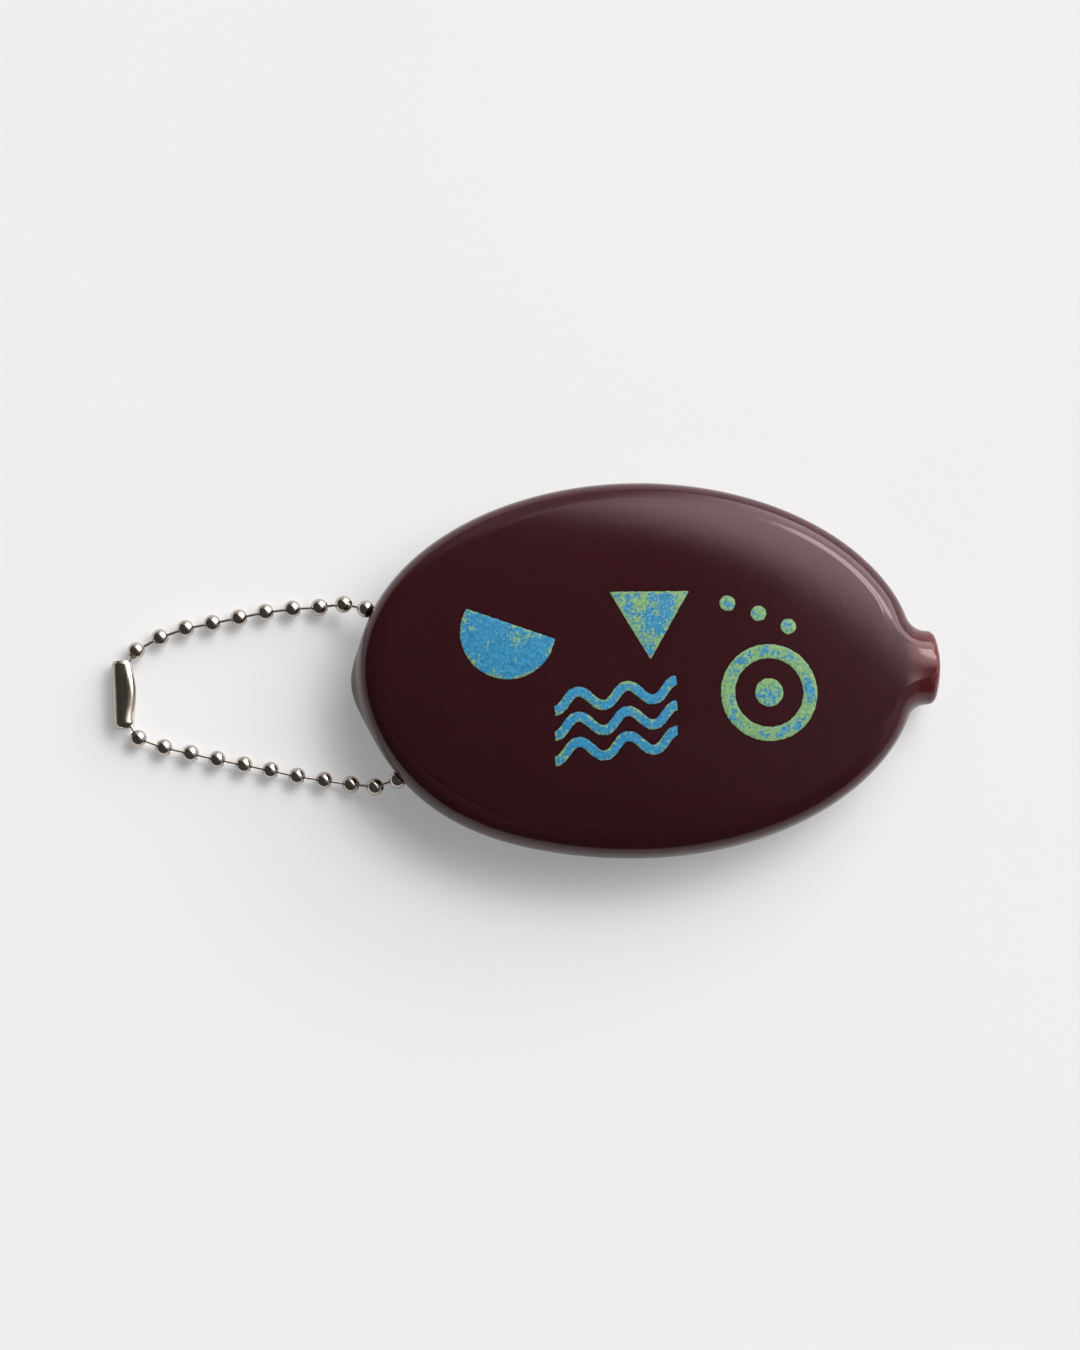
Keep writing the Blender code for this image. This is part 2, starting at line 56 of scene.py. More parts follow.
POUCH_LENGTH = 0.0765
POUCH_WIDTH = 0.0513
POUCH_THICKNESS = 0.0127
INK_HEIGHT = 0.00006
WALL = 0.0019
WIDEST_HEIGHT = 0.0063
CREASE_HEIGHT = 0.0105
CREASE_INSET = 0.0020
BACK_ROUNDING = 0.0042
BACK_SHARE = 0.78
FULLNESS, FULLNESS_PLACE, FULLNESS_SPREAD = 0.0010, 228.0, 24.0
SWELL_HEIGHT, SWELL_SPREAD, SWELL_PLACE = 0.0012, 0.0050, 183.0
SWELL_LEVEL, SWELL_DEPTH = 0.0036, 0.0019
SIDE_TOP_ANGLE = 58.0
SIDE_FULLNESS = 1.3
FACE_POWER = 3.0
NECK_LENGTH = 0.0031
NECK_WIDTH = 0.0101
NECK_MIDDLE = 0.0053
NECK_BORE = 0.0066
BORE_DEPTH, BORE_LIP, BORE_LIP_INSET = 0.0130, 0.0004, 0.0003
NECK_FILLET = 0.0030
NECK_CORNER = 0.0012
NECK_CORNER_TURN = 0.25
NECK_END_ROUND = 0.0004
NECK_ROUNDNESS = 0.0008
NECK_REACH = 0.2
NECK_END_RADIUS = 0.0150
NECK_END_SHARE = 0.14
NECK_BLEND = 0.0032
NECK_FOOT_ANGLE, NECK_TOP_ANGLE = 70.0, 62.0
LEDGE_DROP, LEDGE_PLACE, LEDGE_WIDTH = 0.000030, 0.00115, 0.00012
LEDGE_END = 0.6
SHOULDER_FALL = 0.00018
SHOULDER_SHARE = 0.90
SLIT_LENGTH = 0.0600
SLIT_GAP, SLIT_LIP = 0.0004, 0.0003
HOLE_GAP, HOLE_REACH = 0.0004, 0.0031
CUT_SPARE = 0.001
POUCH_MIDDLE = 0.0151221

neck_end = POUCH_LENGTH / 2 + NECK_LENGTH
face_top = POUCH_THICKNESS - INK_HEIGHT
pouch_place = Vector((POUCH_MIDDLE, 0, 0))


def smoothstep(low, high, value):
    share = np.clip((value - low) / (high - low), 0, 1)
    return share * share * (3 - 2 * share)


def oval(turn):
    """Places and outward directions on the pouch's widest outline."""
    a, b = POUCH_LENGTH / 2, POUCH_WIDTH / 2
    place = np.stack([a * np.cos(turn), b * np.sin(turn)], -1)
    outward = np.stack([np.cos(turn) / a, np.sin(turn) / b], -1)
    return place, outward / np.linalg.norm(outward, axis=-1, keepdims=True)


def arc(centre, radius, first, last, steps):
    angle = np.linspace(first, last, steps + 1)
    way = np.stack([np.cos(angle), np.sin(angle)], -1)
    return np.array(centre) + radius * way, way


def neck_joins():
    """The turn on the oval where the fillet beside the neck leaves it."""
    low, high = 0.0, math.pi / 3
    for _ in range(60):
        turn = (low + high) / 2
        place, outward = oval(turn)
        if place[1] + NECK_FILLET * outward[1] < NECK_WIDTH / 2 + NECK_FILLET:
            low = turn
        else:
            high = turn
    return turn


def pouch_rim(oval_steps=230, arc_steps=12):
    """The outline, anticlockwise from the middle of the neck's end: place, outward, turn, inward."""
    half = NECK_WIDTH / 2
    joins = neck_joins()
    place, outward = oval(joins)
    hollow = place + NECK_FILLET * outward
    slope = math.atan2(-outward[1], -outward[0])
    reach = NECK_END_RADIUS - NECK_CORNER
    end_angle = math.asin((half - NECK_CORNER) / reach)
    end_centre = np.array([neck_end - NECK_END_RADIUS, 0.0])
    corner = end_centre + reach * np.array([math.cos(end_angle), math.sin(end_angle)])
    end, end_way = arc(end_centre, NECK_END_RADIUS, 0, end_angle, arc_steps)
    tip, tip_way = arc(corner, NECK_CORNER, end_angle, math.pi / 2, arc_steps // 2)
    place = np.concatenate([end, tip[1:]])
    outward = np.concatenate([end_way, tip_way[1:]])
    inward = np.stack([-NECK_END_SHARE * outward[:, 0], -place[:, 1] / half], -1)
    bend, bend_way = arc(hollow, NECK_FILLET, -math.pi / 2, slope, arc_steps)
    to_corner = np.linspace(0, NECK_CORNER_TURN, len(place))
    neck_turn = joins * np.append(to_corner, np.linspace(NECK_CORNER_TURN, 1, len(bend) + 1)[1:])
    turn = joins + (math.pi - joins) * np.linspace(0, 1, oval_steps + 1)[1:]
    side, side_way = oval(turn)
    place = np.concatenate([place, bend, side])
    outward = np.concatenate([outward, -bend_way, side_way])
    inward = np.concatenate([inward, bend_way, -side_way])
    turn = np.concatenate([neck_turn, turn])
    flip = np.array([1.0, -1.0])
    back = slice(-2, 0, -1)
    place = np.concatenate([place, place[back] * flip])
    outward = np.concatenate([outward, outward[back] * flip])
    inward = np.concatenate([inward, inward[back] * flip])
    turn = np.concatenate([turn, 2 * math.pi - turn[back]])
    # The outline is a little fuller towards the lower left.
    away = (np.degrees(turn) - FULLNESS_PLACE) / FULLNESS_SPREAD
    return place + FULLNESS * np.exp(-away * away)[:, None] * outward, outward, turn, inward


def face_height(x, y):
    """The domed front, in the pouch's own place. By the neck it goes on beyond the crease."""
    crease_end = POUCH_LENGTH / 2 - CREASE_INSET
    fall = np.hypot(x / crease_end, y / (POUCH_WIDTH / 2 - CREASE_INSET))
    reach = 1 + NECK_REACH * smoothstep(crease_end - NECK_BLEND, crease_end, x)
    dome = face_top - (face_top - CREASE_HEIGHT) * np.minimum(fall, reach) ** FACE_POWER
    roundness = NECK_ROUNDNESS * (1 - np.exp(-y * y / (NECK_WIDTH * NECK_ROUNDNESS)))
    return dome - roundness * smoothstep(crease_end, neck_end, x)


def side_rings(rim, neck, crease_height, steps=18):
    """Up the side, from the edge of the back over the widest outline to the crease."""
    place, outward, turn, inward = rim
    radius = NECK_WIDTH / 2
    top, neck_top = math.radians(SIDE_TOP_ANGLE), math.radians(NECK_TOP_ANGLE)
    neck_foot = math.radians(NECK_FOOT_ANGLE)
    across = np.minimum(np.abs(place[:, 1]), radius)
    foot_depth = np.sqrt(radius**2 - (across * math.cos(neck_foot)) ** 2)
    along = POUCH_WIDTH / 2 * (turn - math.radians(SWELL_PLACE)) / SWELL_SPREAD
    rings = []
    for share in np.concatenate([np.linspace(-1, 0, steps + 1), np.linspace(0, 1, steps + 1)[1:]]):
        if share <= 0:
            inset = BACK_ROUNDING * (1 - math.cos(share * math.pi / 2))
            height = WIDEST_HEIGHT * (1 + math.sin(share * math.pi / 2))
            neck_angle = share * neck_foot
            fuller = 1 + (foot_depth / (radius * math.sin(neck_foot)) - 1) * abs(share)
            neck_height = NECK_MIDDLE + radius * math.sin(neck_angle) * fuller
        else:
            inset = CREASE_INSET * ((1 - math.cos(share * top)) / (1 - math.cos(top))) ** SIDE_FULLNESS
            rise = math.sin(share * top) / math.sin(top)
            height = WIDEST_HEIGHT + (crease_height - WIDEST_HEIGHT) * rise
            neck_angle = share * neck_top
            rise = math.sin(neck_angle) / math.sin(neck_top)
            neck_height = NECK_MIDDLE + (crease_height - NECK_MIDDLE) * rise
        neck_inset = radius * (1 - math.cos(neck_angle))
        inset = inset + (neck_inset - inset) * neck
        height = height + (neck_height - height) * neck
        drip = SWELL_HEIGHT * np.exp(-along**2 - ((height - SWELL_LEVEL) / SWELL_DEPTH) ** 2)
        end_round = NECK_END_ROUND * max(share, 0) ** 5 * neck
        spot = place + inset[:, None] * inward + (drip - end_round)[:, None] * outward
        rings.append(np.column_stack([spot, height]))
    return rings


def inner_oval(turn, share, inset):
    """A smaller oval with the outline's turns."""
    x = share * (POUCH_LENGTH / 2 - inset) * np.cos(turn)
    return np.stack([x, share * (POUCH_WIDTH / 2 - inset) * np.sin(turn)], -1)


def back_rings(turn, foot, steps=8):
    """Over the flat back, from its edge towards its middle."""
    flat = inner_oval(turn, BACK_SHARE, BACK_ROUNDING)
    rings = []
    for share in np.linspace(0, 1, steps + 1)[1:]:
        spot = foot[:, :2] + (flat - foot[:, :2]) * share
        rings.append(np.column_stack([spot, foot[:, 2] * (1 - smoothstep(0, 1, share))]))
    for share in (0.8, 0.5, 0.2):
        spot = inner_oval(turn, BACK_SHARE * share, BACK_ROUNDING)
        rings.append(np.column_stack([spot, 0 * turn]))
    return rings


def front_rings(turn, crease, rim_share, ledge_steps=40, shoulder_steps=10, face_steps=22):
    """Over the ledge and the domed front, from the crease towards the middle."""
    shoulder = inner_oval(turn, SHOULDER_SHARE, CREASE_INSET)
    length = np.linalg.norm(shoulder - crease[:, :2], axis=1)
    near = 2 * LEDGE_PLACE
    distances = [near * share + 0 * length for share in np.linspace(0, 1, ledge_steps + 1)[1:]]
    distances += [near + (length - near) * share for share in np.linspace(0, 1, shoulder_steps + 1)[1:]]
    rings = []
    for distance in distances:
        spot = crease[:, :2] + (shoulder - crease[:, :2]) * (distance / length)[:, None]
        step = LEDGE_DROP * (1 - smoothstep(-1, 1, (distance - LEDGE_PLACE) / LEDGE_WIDTH))
        fall = SHOULDER_FALL * np.clip(1 - distance / LEDGE_PLACE, 0, 1) ** 2
        rings.append(np.column_stack([spot, face_height(*spot.T) - rim_share * (step + fall)]))
    for share in np.linspace(1, 0, face_steps + 1)[1:-1]:
        spot = inner_oval(turn, SHOULDER_SHARE * share, CREASE_INSET)
        rings.append(np.column_stack([spot, face_height(*spot.T)]))
    return rings


def outer_rings():
    """Rings of points, from the middle of the back to the middle of the front."""
    rim = pouch_rim()
    place, _, turn, inward = rim
    neck = smoothstep(POUCH_LENGTH / 2 - NECK_BLEND, neck_end - 2 * NECK_CORNER, place[:, 0])
    rim_share = 1 - smoothstep(0, LEDGE_END, neck)
    neck_inset = NECK_WIDTH / 2 * (1 - math.cos(math.radians(NECK_TOP_ANGLE)))
    inset = CREASE_INSET + (neck_inset - CREASE_INSET) * neck
    crease_height = face_height(*(place + inset[:, None] * inward).T)
    crease_height = crease_height - (LEDGE_DROP + SHOULDER_FALL) * rim_share
    sides = side_rings(rim, neck, crease_height)
    back = back_rings(turn, sides[0])
    return back[::-1] + sides + front_rings(turn, sides[-1], rim_share)


def object_of(name, mesh):
    made = bpy.data.objects.new(name, mesh)
    bpy.context.collection.objects.link(made)
    return made


def object_from(name, shape):
    mesh = bpy.data.meshes.new(name)
    shape.to_mesh(mesh)
    shape.free()
    return object_of(name, mesh)


def smooth(made, sharp_from):
    """Smooth shading, with a sharp edge wherever faces meet at this angle or more."""
    made.data.shade_smooth()
    made.data.set_sharp_from_angle(angle=math.radians(sharp_from))


def settle(made):
    """Keeps the mesh that the modifiers give, and removes them."""
    evaluated = made.evaluated_get(bpy.context.evaluated_depsgraph_get())
    result = bpy.data.meshes.new_from_object(evaluated)
    made.modifiers.clear()
    made.data = result


def skinned(name, rings, bottom, top):
    """A closed mesh over rings of equal count, with a point at either end."""
    count = len(rings[0])
    corners = np.concatenate(rings + [np.array([bottom, top])])
    faces = []
    for row in range(len(rings) - 1):
        for i in range(count):
            k = (i + 1) % count
            faces.append((row * count + i, row * count + k, (row + 1) * count + k, (row + 1) * count + i))
    last = (len(rings) - 1) * count
    for i in range(count):
        k = (i + 1) % count
        faces += [(k, i, last + count), (last + i, last + k, last + count + 1)]
    mesh = bpy.data.meshes.new(name)
    mesh.from_pydata(corners.tolist(), [], faces)
    shape = bmesh.new()
    shape.from_mesh(mesh)
    bmesh.ops.remove_doubles(shape, verts=shape.verts, dist=1e-7)
    bmesh.ops.recalc_face_normals(shape, faces=shape.faces)
    shape.to_mesh(mesh)
    shape.free()
    return object_of(name, mesh)


def cavity_rings(steps=96, levels=13):
    """Rings of points for the hollow, one wall's thickness inside the outside."""
    place, outward = oval(2 * math.pi * np.arange(steps) / steps)
    rings = []
    for share in np.linspace(-1, 1, levels):
        if share <= 0:
            inset = BACK_ROUNDING * (1 - math.cos(share * math.pi / 2))
            height = WIDEST_HEIGHT * (1 + math.sin(share * math.pi / 2))
        else:
            inset = CREASE_INSET * share * share
            height = WIDEST_HEIGHT + (CREASE_HEIGHT - WIDEST_HEIGHT) * share
        spot = place - (inset + WALL) * outward
        level = np.minimum(max(height, WALL), face_height(*spot.T) - WALL)
        rings.append(np.column_stack([spot, level]))
    return rings


def turned(profile, steps):
    """A mesh turned about Z from (radius, height) points. A closed loop gives a ring."""
    shape = bmesh.new()
    corners = [shape.verts.new((radius, 0, height)) for radius, height in profile]
    pairs = list(zip(corners, corners[1:]))
    if profile[0][0] > 0:
        pairs.append((corners[-1], corners[0]))
    for first, second in pairs:
        shape.edges.new((first, second))
    whole = list(shape.verts) + list(shape.edges)
    bmesh.ops.spin(
        shape, geom=whole, axis=(0, 0, 1), cent=(0, 0, 0), angle=2 * math.pi, steps=steps, use_merge=True
    )
    bmesh.ops.remove_doubles(shape, verts=shape.verts, dist=1e-7)
    bmesh.ops.recalc_face_normals(shape, faces=shape.faces)
    return shape


def middle_of(piece):
    low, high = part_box(piece)
    return (low + high) / 2


def bore_cutter():
    """The bore of the neck, opening in a small round lip."""
    bore, lip, mouth = NECK_BORE / 2, BORE_LIP, neck_end - BORE_LIP_INSET
    profile = [(0, neck_end - BORE_DEPTH), (bore, neck_end - BORE_DEPTH)]
    for step in range(9):
        angle = math.pi / 2 * step / 8
        profile.append((bore + lip * (1 - math.cos(angle)), mouth - lip * (1 - math.sin(angle))))
    profile += [(bore + lip, neck_end + 2 * CUT_SPARE), (0, neck_end + 2 * CUT_SPARE)]
    made = object_from("bore_cutter", turned(profile, 64))
    made.data.transform(Matrix.Translation((0, 0, NECK_MIDDLE)) @ Matrix.Rotation(math.pi / 2, 4, "Y"))
    return made


def slit_cutter():
    """The cut along the back, whose lips have rolled open a little at the surface."""
    half, lip = SLIT_GAP / 2, SLIT_LIP
    section = [(half, WALL + CUT_SPARE)]
    for step in range(7):
        angle = math.pi / 2 * step / 6
        section.append((half + lip * (1 - math.cos(angle)), lip * (1 - math.sin(angle))))
    section.append((half + lip, -CUT_SPARE))
    outline = section + [(-y, z) for y, z in reversed(section)]
    shape = bmesh.new()
    ends = [[shape.verts.new((x, y, z)) for y, z in outline] for x in (-SLIT_LENGTH / 2, SLIT_LENGTH / 2)]
    for i in range(len(outline)):
        k = (i + 1) % len(outline)
        shape.faces.new((ends[0][i], ends[0][k], ends[1][k], ends[1][i]))
    shape.faces.new(ends[0])
    shape.faces.new(ends[1])
    bmesh.ops.recalc_face_normals(shape, faces=shape.faces)
    return object_from("slit_cutter", shape)


def hole_cutter(name, outside, inside):
    """A hole for the chain, between the balls on either side of the wall."""
    low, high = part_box("ball_upper_05")
    radius = (high - low).z / 2 + HOLE_GAP
    way = (middle_of(inside) - middle_of(outside)).normalized()
    spot = (middle_of(inside) + middle_of(outside)) / 2 - pouch_place
    profile = [(0, HOLE_REACH), (radius, HOLE_REACH), (radius, -HOLE_REACH), (0, -HOLE_REACH)]
    made = object_from(name, turned(profile, 40))
    made.data.transform(Matrix.LocRotScale(spot, Vector((0, 0, 1)).rotation_difference(way), None))
    return made


def cut_away(body, cutters):
    """Cuts the cutters out of the body, and removes them."""
    for cutter in cutters:
        cut = body.modifiers.new(cutter.name, "BOOLEAN")
        cut.operation, cut.object, cut.solver = "DIFFERENCE", cutter, "EXACT"
    settle(body)
    for cutter in cutters:
        bpy.data.objects.remove(cutter)


pouch = skinned("oxblood_pouch", outer_rings(), (0, 0, 0), (0, 0, face_top))
cutters = [
    skinned("cavity_cutter", cavity_rings(), (0, 0, WALL), (0, 0, POUCH_THICKNESS - WALL)),
    bore_cutter(),
    slit_cutter(),
    hole_cutter("upper_hole_cutter", "ball_upper_01", "ball_inner_1"),
    hole_cutter("lower_hole_cutter", "ball_inner_7", "ball_inner_6"),
]
cut_away(pouch, cutters)
pouch.data.transform(Matrix.Translation(pouch_place))
smooth(pouch, 40)


class Shade:
    """A value in a tree of nodes: sums on it add the nodes that work them out."""

    def __init__(self, tree, socket):
        self.tree, self.socket = tree, socket

    def sum_of(self, operation, first, second):
        vector = self.socket.type == "VECTOR"
        kind = "ShaderNodeVectorMath" if vector else "ShaderNodeMath"
        return node(self.tree, kind, {"operation": operation}, {0: first, 1: second})

    def __add__(self, other):
        return self.sum_of("ADD", self, other)

    def __sub__(self, other):
        return self.sum_of("SUBTRACT", self, other)

    def __rsub__(self, other):
        return self.sum_of("SUBTRACT", other, self)

    def __mul__(self, other):
        return self.sum_of("MULTIPLY", self, other)

    def __truediv__(self, other):
        return self.sum_of("DIVIDE", self, other)

    def __pow__(self, other):
        return self.sum_of("POWER", self, other)

    __radd__ = __add__
    __rmul__ = __mul__

    def between(self, low, high):
        """0 below low, 1 above high, and smooth from one to the other."""
        sockets = {"Value": self, "From Min": low, "From Max": high}
        settings = {"interpolation_type": "SMOOTHSTEP"}
        return node(self.tree, "ShaderNodeMapRange", settings, sockets)

    def blend(self, first, second):
        """A colour that goes from the first to the second as this value rises."""
        return node(self.tree, "ShaderNodeMix", {"data_type": "RGBA"}, {0: self, 6: first, 7: second}, 2)


def node(tree, kind, settings=None, sockets=None, output=0):
    """Adds a node, with its settings first and then its sockets. Gives back one of its outputs."""
    made = tree.nodes.new(kind)
    for name, value in (settings or {}).items():
        setattr(made, name, value)
    for name, value in (sockets or {}).items():
        feed(tree, made.inputs[name], value)
    return Shade(tree, made.outputs[output])


def feed(tree, socket, value):
    """Links a value of the tree to a socket, or sets a constant on it."""
    if isinstance(value, Shade):
        tree.links.new(value.socket, socket)
    elif socket.type == "RGBA":
        socket.default_value = (*value, 1)
    else:
        socket.default_value = value


def finish(name, **constants):
    """A new material and its tree. Words in the constants' names are joined by underscores."""
    made = bpy.data.materials.new(name)
    made.use_nodes = True
    shader = made.node_tree.nodes["Principled BSDF"]
    for socket, value in constants.items():
        feed(made.node_tree, shader.inputs[socket.replace("_", " ")], value)
    return made, made.node_tree, shader


def place_on_piece(tree):
    """The object coordinates, in metres."""
    return node(tree, "ShaderNodeTexCoord", output=3)


def noise(tree, where, scale, detail=2.0, roughness=0.5):
    sockets = {"Vector": where, "Scale": scale, "Detail": detail, "Roughness": roughness}
    return node(tree, "ShaderNodeTexNoise", {}, sockets)


def bump(tree, height, strength, distance):
    return node(tree, "ShaderNodeBump", {}, {"Strength": strength, "Distance": distance, "Height": height})


def srgb(*channels):
    """A colour as written on a screen, from 0 to 255, in the light that a shader counts in."""
    return tuple(((c / 255 + 0.055) / 1.055) ** 2.4 if c > 10 else c / 255 / 12.92 for c in channels)


# Where the painted glow of the neck and of the rim fades in.
NECK_GLOW_LENGTH = 0.003
RIM_GLOW_EDGE = (0.0006, 0.0018)
DULL_SIDE_EDGE = (0.0070, 0.0098)


def oxblood_vinyl():
    """Dark glossy vinyl. Its rim and neck have a painted glow, a lighter colour for light through the thin
    vinyl, and the side below the rim is duller.
    """
    made, tree, shader = finish(
        "oxblood_vinyl",
        IOR=1.46,
        Specular_Tint=(1.0, 0.72, 0.74),
        Coat_Weight=0.1,
        Coat_Roughness=0.05,
        Subsurface_Weight=0.7,
        Subsurface_Radius=(1.0, 0.2, 0.2),
        Subsurface_Scale=0.003,
    )
    where = place_on_piece(tree)
    along = node(tree, "ShaderNodeSeparateXYZ", {}, {0: where})
    across = Shade(tree, along.socket.node.outputs["Y"])
    height = Shade(tree, along.socket.node.outputs["Z"])
    cloudy = noise(tree, where, 90.0, 3.0)
    fine = noise(tree, where, 1400.0, 4.0)
    a, b = POUCH_LENGTH / 2, POUCH_WIDTH / 2
    from_middle = along - pouch_place.x
    out = ((from_middle / a) ** 2 + (across / b) ** 2) ** 0.5
    slope = ((from_middle / a**2) ** 2 + (across / b**2) ** 2) ** 0.5
    from_rim = (1 - out) * out / slope
    # Painted glow: the rim and the neck get a lighter, redder colour that stands in for light shining
    # through the thin vinyl.
    neck = from_middle.between(a - NECK_GLOW_LENGTH, neck_end)
    front = cloudy.blend(srgb(52, 19, 24), srgb(57, 22, 28))
    body = from_rim.between(*RIM_GLOW_EDGE).blend(srgb(64, 24, 28), front)
    feed(tree, shader.inputs["Base Color"], neck.blend(body, srgb(92, 36, 38)))
    side = 1 - height.between(*DULL_SIDE_EDGE)
    feed(tree, shader.inputs["Roughness"], 0.08 + 0.05 * cloudy + 0.02 * fine + 0.16 * side)
    feed(tree, shader.inputs["Normal"], bump(tree, fine, 0.05, 0.0002))
    return made


pouch.data.materials.clear()
pouch.data.materials.append(oxblood_vinyl())
for face in pouch.data.polygons:
    face.material_index = 0
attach(pouch, "pouch")
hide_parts("pouch_shell")

# Print on the front
# Plain shapes in sky blue and sage green ink, screen printed on the moulded vinyl: a ring, a half
# disc, a triangle, waves and dots. The two inks are dabbed over each other, so the colours mottle,
# and the ink stands a little above the vinyl, with slightly rough edges.

INK_CELL = 0.00016
INK_FOOT = 0.00004
INK_ROUGHNESS = 0.00005
INK_EDGE_SHARE = 0.55
GREEN_EDGE, GREEN_EDGE_SHARE = 0.0006, 0.09
# Waves in the ink's edge: radians for each millimetre along X and along Y, and where each starts.
EDGE_WAVES = (
    (5.1, 2.3, 0.4),
    (-3.7, 4.9, 1.9),
    (8.3, -6.1, 3.1),
    (2.9, 9.7, 4.4),
    (13.1, 7.9, 5.2),
)
EDGE_WAVE_FADE, EDGE_WAVES_SHARE = 0.4, 2.6
HALF_DISC_PLACE, HALF_DISC_RADIUS = (-0.0180, 0.0046), 0.0064
HALF_DISC_ANGLE, HALF_DISC_CUT = 70.0, 0.0012
TRIANGLE_PLACE, TRIANGLE_RADIUS = (0.0012, 0.0068), 0.0062
RING_PLACE, RING_RADIUS, RING_WIDTH, RING_SPOT = (0.0172, -0.0040), 0.0056, 0.0019, 0.0019
WAVES_LEFT, WAVES_TOP, WAVES_GAP = -0.0036, -0.0042, 0.0034
WAVE_LENGTH, WAVE_RISE, WAVE_COUNT, WAVE_WIDTH, WAVE_ANGLE = 0.0168, 0.0011, 2.5, 0.0013, 6.0
DOT_PLACES, DOT_RADIUS = ((0.0118, 0.0082), (0.0160, 0.0068), (0.0200, 0.0050)), 0.00105


# Each form gives the distance to its edge at each point, negative inside.
def disc_form(x, y, at, radius):
    return np.hypot(x - at[0], y - at[1]) - radius


def ring_form(x, y, at, radius, width):
    return np.abs(np.hypot(x - at[0], y - at[1]) - radius) - width / 2


def half_plane_form(x, y, at, angle):
    """Negative on the side that the angle points away from."""
    a = math.radians(angle)
    return (x - at[0]) * math.cos(a) + (y - at[1]) * math.sin(a)


def polygon_form(x, y, at, radius, sides, turn):
    angles = [turn + 360.0 * k / sides for k in range(sides)]
    edge = radius * math.cos(math.pi / sides)
    return np.max([half_plane_form(x, y, at, a) - edge for a in angles], axis=0)


def wave_form(x, y, at, length, rise, waves, width, angle):
    a = math.radians(angle)
    u = (x - at[0]) * math.cos(a) + (y - at[1]) * math.sin(a)
    v = (y - at[1]) * math.cos(a) - (x - at[0]) * math.sin(a)
    turn = 2 * math.pi * waves / length
    slope = rise * turn * np.cos(turn * u)
    off = np.abs(v - rise * np.sin(turn * u)) / np.sqrt(1 + slope**2) - width / 2
    return np.maximum(off, np.abs(u) - length / 2)


def rough_edge(x, y):
    """An uneven edge, from a few plain waves that don't repeat within a shape."""
    total = np.zeros_like(x)
    for k, (across_x, across_y, phase) in enumerate(EDGE_WAVES):
        total += np.sin(1000 * (across_x * x + across_y * y) + phase) / (1 + EDGE_WAVE_FADE * k)
    return INK_ROUGHNESS * total / EDGE_WAVES_SHARE


def inked_patch(form, at, reach, green):
    """A thin, closed sheet of ink inside the form, with its share of green at each point.

    The cells that lie inside are kept, and the corners on their border are pulled onto the edge.
    """
    count = int(2 * reach / INK_CELL)
    line = (np.arange(count + 1) - count / 2) * INK_CELL
    x, y = np.meshgrid(at[0] + line, at[1] + line, indexing="ij")

    def field(px, py):
        return form(px, py) + rough_edge(px, py)

    middle_x, middle_y = x[:-1, :-1] + INK_CELL / 2, y[:-1, :-1] + INK_CELL / 2
    kept = field(middle_x, middle_y) < 0
    padded = np.pad(kept, 1)
    around = padded[:-1, :-1].astype(int) + padded[1:, :-1] + padded[:-1, 1:] + padded[1:, 1:]
    edge = (around > 0) & (around < 4)
    step = INK_CELL / 10
    for _ in range(3):
        here = field(x, y)
        gx = (field(x + step, y) - field(x - step, y)) / (2 * step)
        gy = (field(x, y + step) - field(x, y - step)) / (2 * step)
        size = np.maximum(gx * gx + gy * gy, 0.25)
        pull = np.clip(here / size, -INK_CELL, INK_CELL) * edge
        x, y = x - pull * gx, y - pull * gy
    share = green + GREEN_EDGE_SHARE * (1 - smoothstep(0, GREEN_EDGE, -field(x, y)))
    level = face_height(x, y)
    top = level + INK_HEIGHT * np.where(edge, INK_EDGE_SHARE, 1.0)
    index = np.arange(x.size).reshape(x.shape)
    sheets = [np.stack([x, y, height], -1).reshape(-1, 3) for height in (top, level - INK_FOOT)]
    corners = np.concatenate(sheets)
    faces = []
    base = x.size
    for i, k in np.argwhere(kept):
        quad = (index[i, k], index[i + 1, k], index[i + 1, k + 1], index[i, k + 1])
        faces.append(quad)
        faces.append(tuple(base + q for q in reversed(quad)))
        sides = ((i, k - 1, 0, 1), (i + 1, k, 1, 2), (i, k + 1, 2, 3), (i - 1, k, 3, 0))
        for near_i, near_k, first, second in sides:
            if not padded[near_i + 1, near_k + 1]:
                faces.append((quad[second], quad[first], base + quad[first], base + quad[second]))
    return corners, faces, np.tile(share.ravel(), 2)


def printed(name, patches):
    """One mesh of all the patches, with each point's share of green kept for the ink."""
    shape = bmesh.new()
    greens = shape.verts.layers.float.new("green_share")
    for corners, faces, shares in patches:
        spots = {}
        for face in faces:
            for k in face:
                if k not in spots:
                    spots[k] = shape.verts.new(corners[k])
                    spots[k][greens] = shares[k]
            shape.faces.new([spots[k] for k in face])
    bmesh.ops.recalc_face_normals(shape, faces=shape.faces)
    made = object_from(name, shape)
    made.data.transform(Matrix.Translation(pouch_place))
    smooth(made, 50)
    return made


def face_ink():
    made, tree, shader = finish("face_ink", Coat_Weight=0.05, IOR=1.45)
    where = place_on_piece(tree)
    share = node(tree, "ShaderNodeAttribute", {"attribute_name": "green_share"}, {}, 2)
    broad = noise(tree, where, 420.0, 3.0, 0.6)
    dabs = noise(tree, where, 2600.0, 4.0, 0.7)
    mask = (0.5 * broad + 0.5 * dabs + share).between(0.48, 0.53)
    blue = dabs.between(0.3, 0.7).blend(srgb(18, 108, 156), srgb(56, 156, 198))
    green = dabs.between(0.3, 0.7).blend(srgb(84, 138, 104), srgb(146, 184, 116))
    feed(tree, shader.inputs["Base Color"], mask.blend(blue, green))
    feed(tree, shader.inputs["Roughness"], 0.42 + 0.2 * dabs)
    feed(tree, shader.inputs["Normal"], bump(tree, dabs, 0.35, 0.00008))
    return made


def half_disc(x, y):
    whole = disc_form(x, y, HALF_DISC_PLACE, HALF_DISC_RADIUS)
    cut = half_plane_form(x, y, HALF_DISC_PLACE, HALF_DISC_ANGLE)
    return np.maximum(whole, cut - HALF_DISC_CUT)


def triangle(x, y):
    return polygon_form(x, y, TRIANGLE_PLACE, TRIANGLE_RADIUS, 3, 90.0)


